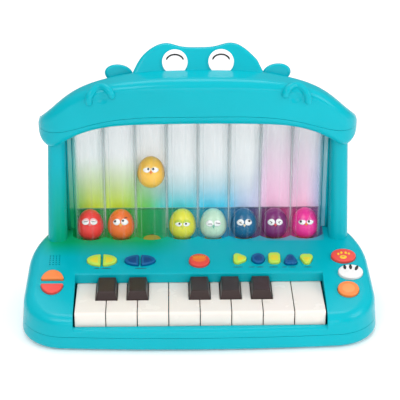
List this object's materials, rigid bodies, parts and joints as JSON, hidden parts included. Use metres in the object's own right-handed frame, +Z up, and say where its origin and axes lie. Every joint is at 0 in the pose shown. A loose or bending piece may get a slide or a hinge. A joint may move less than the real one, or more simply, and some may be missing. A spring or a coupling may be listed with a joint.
{
  "type": "toy electronic keyboard",
  "caption": "Hippo-shaped toy piano: hinged piano keys and press buttons on a sloping base, clear tubes with popping balls, carried up to an arched head on two posts.",
  "frame": {"origin": "on the floor, under the middle of the base, at the bottom of the feet; the key axle lies in the plane y = 0", "axes": "+X towards the high notes (the player's right), +Y from the player to the back, +Z up"},
  "size_m": [0.3596, 0.1791, 0.2717],
  "materials": {
    "turquoise_case": "smooth satin injection-moulded ABS",
    "clear_tube": "clear polished polycarbonate",
    "ivory_key": "smooth glossy ABS",
    "dark_key": "fine satin ABS",
    "popper_orange": "moulded nylon",
    "lime": "soft gloss",
    "blue": "soft gloss",
    "red": "soft gloss",
    "orange": "soft gloss",
    "white": "soft gloss",
    "ball_red": "gloss",
    "ball_orange": "gloss",
    "ball_yellow": "gloss",
    "ball_lime": "gloss",
    "ball_mint": "gloss",
    "ball_blue": "gloss",
    "ball_purple": "gloss",
    "ball_pink": "gloss",
    "steel_rod": "drawn rod",
    "screw_steel": "zinc plated",
    "board_green": "printed circuit board",
    "silicone": "grey silicone",
    "speaker_black": "paper cone and steel frame",
    "foot_grey": "soft grip",
    "switch_black": "fine texture"
  },
  "bodies": {
    "case": {"base_bottom_shell": "turquoise_case", "base_top_shell": "turquoise_case", "side_posts": "turquoise_case", "ball_tubes": "clear_tube", "head_top_shell": "turquoise_case", "head_lower_shell": "turquoise_case", "brow_and_ears": "turquoise_case", "eyes": "white", "key_axle": "steel_rod", "speaker": "speaker_black", "circuit_boards": "board_green", "contact_pads": "silicone", "battery_door": "turquoise_case", "screws": "screw_steel", "feet": "foot_grey"},
    "white_key_1": {"white_key_1": "ivory_key"},
    "white_key_2": {"white_key_2": "ivory_key"},
    "white_key_3": {"white_key_3": "ivory_key"},
    "white_key_4": {"white_key_4": "ivory_key"},
    "white_key_5": {"white_key_5": "ivory_key"},
    "white_key_6": {"white_key_6": "ivory_key"},
    "white_key_7": {"white_key_7": "ivory_key"},
    "white_key_8": {"white_key_8": "ivory_key"},
    "black_key_1": {"black_key_1": "dark_key"},
    "black_key_2": {"black_key_2": "dark_key"},
    "black_key_3": {"black_key_3": "dark_key"},
    "black_key_4": {"black_key_4": "dark_key"},
    "black_key_5": {"black_key_5": "dark_key"},
    "popper_1": {"popper_1": "popper_orange"},
    "popper_2": {"popper_2": "popper_orange"},
    "popper_3": {"popper_3": "popper_orange"},
    "popper_4": {"popper_4": "popper_orange"},
    "popper_5": {"popper_5": "popper_orange"},
    "popper_6": {"popper_6": "popper_orange"},
    "popper_7": {"popper_7": "popper_orange"},
    "popper_8": {"popper_8": "popper_orange"},
    "ball_1": {"ball_1": "ball_red"},
    "ball_2": {"ball_2": "ball_orange"},
    "ball_3": {"ball_3": "ball_yellow"},
    "ball_4": {"ball_4": "ball_lime"},
    "ball_5": {"ball_5": "ball_mint"},
    "ball_6": {"ball_6": "ball_blue"},
    "ball_7": {"ball_7": "ball_purple"},
    "ball_8": {"ball_8": "ball_pink"},
    "button_left_upper": {"button_left_upper": "orange"},
    "button_left_lower": {"button_left_lower": "red"},
    "button_lime_left": {"button_lime_left": "lime"},
    "button_lime_right": {"button_lime_right": "lime"},
    "button_blue_left": {"button_blue_left": "blue"},
    "button_blue_right": {"button_blue_right": "blue"},
    "button_red_centre": {"button_red_centre": "red"},
    "button_small_1": {"button_small_1": "lime"},
    "button_small_2": {"button_small_2": "blue"},
    "button_small_3": {"button_small_3": "lime"},
    "button_small_4": {"button_small_4": "blue"},
    "button_small_5": {"button_small_5": "lime"},
    "button_right_red": {"button_right_red": "red"},
    "button_right_white": {"button_right_white": "white"},
    "button_right_orange": {"button_right_orange": "orange"},
    "power_switch": {"power_switch": "switch_black"}
  },
  "joints": [
    {"name": "white_key_1_hinge", "type": "hinge", "parent": "case", "child": "white_key_1", "pos_m": [0, 0, 0.033], "axis": [1, 0, 0], "range_deg": [0, 5.5], "stiffness_Nm_per_rad": 0.5, "springref_deg": -5.73},
    {"name": "white_key_2_hinge", "type": "hinge", "parent": "case", "child": "white_key_2", "pos_m": [0, 0, 0.033], "axis": [1, 0, 0], "range_deg": [0, 5.5], "stiffness_Nm_per_rad": 0.5, "springref_deg": -5.73},
    {"name": "white_key_3_hinge", "type": "hinge", "parent": "case", "child": "white_key_3", "pos_m": [0, 0, 0.033], "axis": [1, 0, 0], "range_deg": [0, 5.5], "stiffness_Nm_per_rad": 0.5, "springref_deg": -5.73},
    {"name": "white_key_4_hinge", "type": "hinge", "parent": "case", "child": "white_key_4", "pos_m": [0, 0, 0.033], "axis": [1, 0, 0], "range_deg": [0, 5.5], "stiffness_Nm_per_rad": 0.5, "springref_deg": -5.73},
    {"name": "white_key_5_hinge", "type": "hinge", "parent": "case", "child": "white_key_5", "pos_m": [0, 0, 0.033], "axis": [1, 0, 0], "range_deg": [0, 5.5], "stiffness_Nm_per_rad": 0.5, "springref_deg": -5.73},
    {"name": "white_key_6_hinge", "type": "hinge", "parent": "case", "child": "white_key_6", "pos_m": [0, 0, 0.033], "axis": [1, 0, 0], "range_deg": [0, 5.5], "stiffness_Nm_per_rad": 0.5, "springref_deg": -5.73},
    {"name": "white_key_7_hinge", "type": "hinge", "parent": "case", "child": "white_key_7", "pos_m": [0, 0, 0.033], "axis": [1, 0, 0], "range_deg": [0, 5.5], "stiffness_Nm_per_rad": 0.5, "springref_deg": -5.73},
    {"name": "white_key_8_hinge", "type": "hinge", "parent": "case", "child": "white_key_8", "pos_m": [0, 0, 0.033], "axis": [1, 0, 0], "range_deg": [0, 5.5], "stiffness_Nm_per_rad": 0.5, "springref_deg": -5.73},
    {"name": "black_key_1_hinge", "type": "hinge", "parent": "case", "child": "black_key_1", "pos_m": [0, 0, 0.033], "axis": [1, 0, 0], "range_deg": [0, 5.5], "stiffness_Nm_per_rad": 0.5, "springref_deg": -5.73},
    {"name": "black_key_2_hinge", "type": "hinge", "parent": "case", "child": "black_key_2", "pos_m": [0, 0, 0.033], "axis": [1, 0, 0], "range_deg": [0, 5.5], "stiffness_Nm_per_rad": 0.5, "springref_deg": -5.73},
    {"name": "black_key_3_hinge", "type": "hinge", "parent": "case", "child": "black_key_3", "pos_m": [0, 0, 0.033], "axis": [1, 0, 0], "range_deg": [0, 5.5], "stiffness_Nm_per_rad": 0.5, "springref_deg": -5.73},
    {"name": "black_key_4_hinge", "type": "hinge", "parent": "case", "child": "black_key_4", "pos_m": [0, 0, 0.033], "axis": [1, 0, 0], "range_deg": [0, 5.5], "stiffness_Nm_per_rad": 0.5, "springref_deg": -5.73},
    {"name": "black_key_5_hinge", "type": "hinge", "parent": "case", "child": "black_key_5", "pos_m": [0, 0, 0.033], "axis": [1, 0, 0], "range_deg": [0, 5.5], "stiffness_Nm_per_rad": 0.5, "springref_deg": -5.73},
    {"name": "popper_1_slide", "type": "slide", "parent": "case", "child": "popper_1", "axis": [0, 0, 1], "range_m": [0, 0.005]},
    {"name": "popper_2_slide", "type": "slide", "parent": "case", "child": "popper_2", "axis": [0, 0, 1], "range_m": [0, 0.005]},
    {"name": "popper_3_slide", "type": "slide", "parent": "case", "child": "popper_3", "axis": [0, 0, 1], "range_m": [0, 0.005]},
    {"name": "popper_4_slide", "type": "slide", "parent": "case", "child": "popper_4", "axis": [0, 0, 1], "range_m": [0, 0.005]},
    {"name": "popper_5_slide", "type": "slide", "parent": "case", "child": "popper_5", "axis": [0, 0, 1], "range_m": [0, 0.005]},
    {"name": "popper_6_slide", "type": "slide", "parent": "case", "child": "popper_6", "axis": [0, 0, 1], "range_m": [0, 0.005]},
    {"name": "popper_7_slide", "type": "slide", "parent": "case", "child": "popper_7", "axis": [0, 0, 1], "range_m": [0, 0.005]},
    {"name": "popper_8_slide", "type": "slide", "parent": "case", "child": "popper_8", "axis": [0, 0, 1], "range_m": [0, 0.005]},
    {"name": "ball_1_slide", "type": "slide", "parent": "popper_1", "child": "ball_1", "axis": [0, 0, 1], "range_m": [0, 0.103]},
    {"name": "ball_2_slide", "type": "slide", "parent": "popper_2", "child": "ball_2", "axis": [0, 0, 1], "range_m": [0, 0.112]},
    {"name": "ball_3_slide", "type": "slide", "parent": "popper_3", "child": "ball_3", "axis": [0, 0, 1], "range_m": [-0.061, 0.051]},
    {"name": "ball_4_slide", "type": "slide", "parent": "popper_4", "child": "ball_4", "axis": [0, 0, 1], "range_m": [0, 0.112]},
    {"name": "ball_5_slide", "type": "slide", "parent": "popper_5", "child": "ball_5", "axis": [0, 0, 1], "range_m": [0, 0.112]},
    {"name": "ball_6_slide", "type": "slide", "parent": "popper_6", "child": "ball_6", "axis": [0, 0, 1], "range_m": [0, 0.112]},
    {"name": "ball_7_slide", "type": "slide", "parent": "popper_7", "child": "ball_7", "axis": [0, 0, 1], "range_m": [0, 0.112]},
    {"name": "ball_8_slide", "type": "slide", "parent": "popper_8", "child": "ball_8", "axis": [0, 0, 1], "range_m": [0, 0.103]},
    {"name": "button_left_upper_press", "type": "slide", "parent": "case", "child": "button_left_upper", "axis": [0, 0.2402, -0.9707], "range_m": [0, 0.0022], "stiffness_N_per_m": 100, "springref_m": -0.002},
    {"name": "button_left_lower_press", "type": "slide", "parent": "case", "child": "button_left_lower", "axis": [0, 0.2402, -0.9707], "range_m": [0, 0.0022], "stiffness_N_per_m": 100, "springref_m": -0.002},
    {"name": "button_lime_left_press", "type": "slide", "parent": "case", "child": "button_lime_left", "axis": [0, 0.2402, -0.9707], "range_m": [0, 0.0022], "stiffness_N_per_m": 100, "springref_m": -0.002},
    {"name": "button_lime_right_press", "type": "slide", "parent": "case", "child": "button_lime_right", "axis": [0, 0.2402, -0.9707], "range_m": [0, 0.0022], "stiffness_N_per_m": 100, "springref_m": -0.002},
    {"name": "button_blue_left_press", "type": "slide", "parent": "case", "child": "button_blue_left", "axis": [0, 0.2402, -0.9707], "range_m": [0, 0.0022], "stiffness_N_per_m": 100, "springref_m": -0.002},
    {"name": "button_blue_right_press", "type": "slide", "parent": "case", "child": "button_blue_right", "axis": [0, 0.2402, -0.9707], "range_m": [0, 0.0022], "stiffness_N_per_m": 100, "springref_m": -0.002},
    {"name": "button_red_centre_press", "type": "slide", "parent": "case", "child": "button_red_centre", "axis": [0, 0.2402, -0.9707], "range_m": [0, 0.0022], "stiffness_N_per_m": 100, "springref_m": -0.002},
    {"name": "button_small_1_press", "type": "slide", "parent": "case", "child": "button_small_1", "axis": [0, 0.2402, -0.9707], "range_m": [0, 0.0022], "stiffness_N_per_m": 100, "springref_m": -0.002},
    {"name": "button_small_2_press", "type": "slide", "parent": "case", "child": "button_small_2", "axis": [0, 0.2402, -0.9707], "range_m": [0, 0.0022], "stiffness_N_per_m": 100, "springref_m": -0.002},
    {"name": "button_small_3_press", "type": "slide", "parent": "case", "child": "button_small_3", "axis": [0, 0.2402, -0.9707], "range_m": [0, 0.0022], "stiffness_N_per_m": 100, "springref_m": -0.002},
    {"name": "button_small_4_press", "type": "slide", "parent": "case", "child": "button_small_4", "axis": [0, 0.2402, -0.9707], "range_m": [0, 0.0022], "stiffness_N_per_m": 100, "springref_m": -0.002},
    {"name": "button_small_5_press", "type": "slide", "parent": "case", "child": "button_small_5", "axis": [0, 0.2402, -0.9707], "range_m": [0, 0.0022], "stiffness_N_per_m": 100, "springref_m": -0.002},
    {"name": "button_right_red_press", "type": "slide", "parent": "case", "child": "button_right_red", "axis": [0, 0.2402, -0.9707], "range_m": [0, 0.0022], "stiffness_N_per_m": 100, "springref_m": -0.002},
    {"name": "button_right_white_press", "type": "slide", "parent": "case", "child": "button_right_white", "axis": [0, 0.2402, -0.9707], "range_m": [0, 0.0022], "stiffness_N_per_m": 100, "springref_m": -0.002},
    {"name": "button_right_orange_press", "type": "slide", "parent": "case", "child": "button_right_orange", "axis": [0, 0.2402, -0.9707], "range_m": [0, 0.0022], "stiffness_N_per_m": 100, "springref_m": -0.002},
    {"name": "power_switch_slide", "type": "slide", "parent": "case", "child": "power_switch", "axis": [1, 0, 0], "range_m": [0, 0.005]}
  ],
  "couplings": [
    {"joint": "popper_1_slide", "follows": "white_key_1_hinge", "m_per_rad": 0.052},
    {"joint": "popper_2_slide", "follows": "white_key_2_hinge", "m_per_rad": 0.052},
    {"joint": "popper_3_slide", "follows": "white_key_3_hinge", "m_per_rad": 0.052},
    {"joint": "popper_4_slide", "follows": "white_key_4_hinge", "m_per_rad": 0.052},
    {"joint": "popper_5_slide", "follows": "white_key_5_hinge", "m_per_rad": 0.052},
    {"joint": "popper_6_slide", "follows": "white_key_6_hinge", "m_per_rad": 0.052},
    {"joint": "popper_7_slide", "follows": "white_key_7_hinge", "m_per_rad": 0.052},
    {"joint": "popper_8_slide", "follows": "white_key_8_hinge", "m_per_rad": 0.052}
  ]
}
